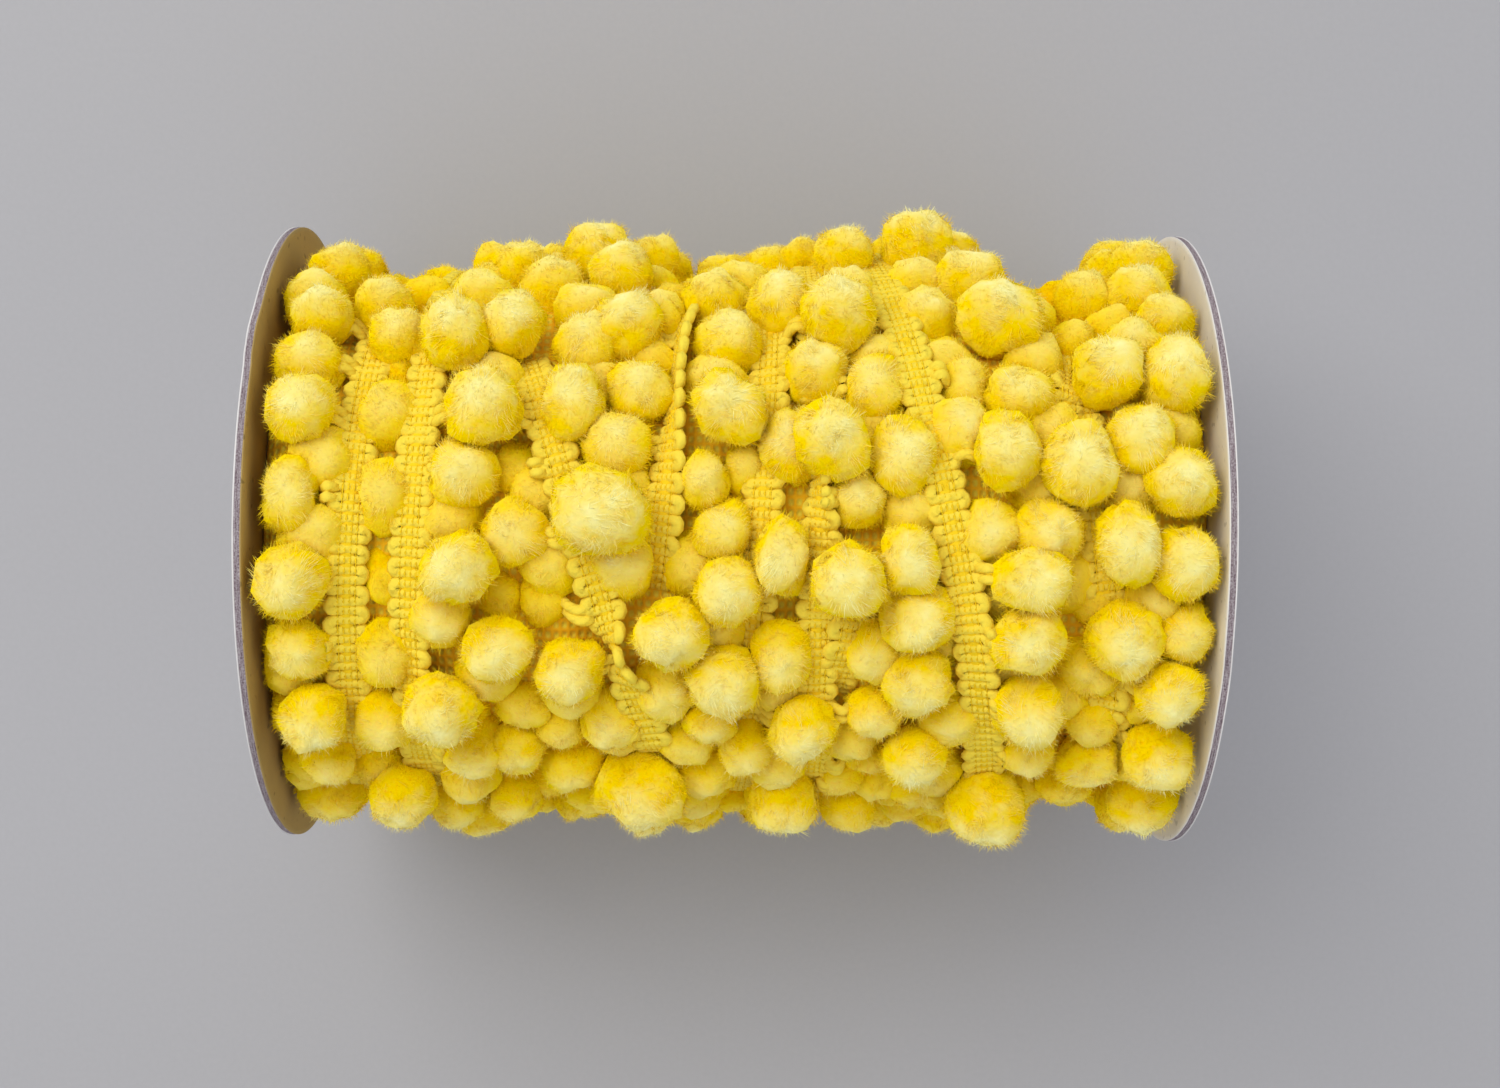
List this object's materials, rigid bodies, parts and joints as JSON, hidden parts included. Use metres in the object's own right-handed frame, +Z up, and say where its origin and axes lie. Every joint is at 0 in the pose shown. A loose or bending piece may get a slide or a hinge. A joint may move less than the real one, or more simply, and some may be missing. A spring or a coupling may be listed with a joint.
{
  "type": "pompom fringe trim wound on a card spool",
  "caption": "Yellow pompom fringe trim on a narrow gimp braid, wound loosely in layers between the round card discs of a spool that lies on its side.",
  "frame": {"origin": "below the middle of the spool, on the surface that its discs rest on", "axes": "+X along the spool's axis towards the right disc in the picture, +Z up, +Y towards the picture's upper edge"},
  "size_m": [0.167, 0.1208, 0.1174],
  "materials": {
    "card_left": "matt buff paper over greyboard, bare layered rim",
    "card_right": "matt pale paper over greyboard, bare layered rim",
    "yarn": "fuzzy matt acrylic yarn, cut pile on the pompoms and a soft sheen on the braid"
  },
  "bodies": {
    "root": {"flange_left": "card_left", "flange_right": "card_right", "pompom_trim": "yarn"}
  },
  "joints": []
}
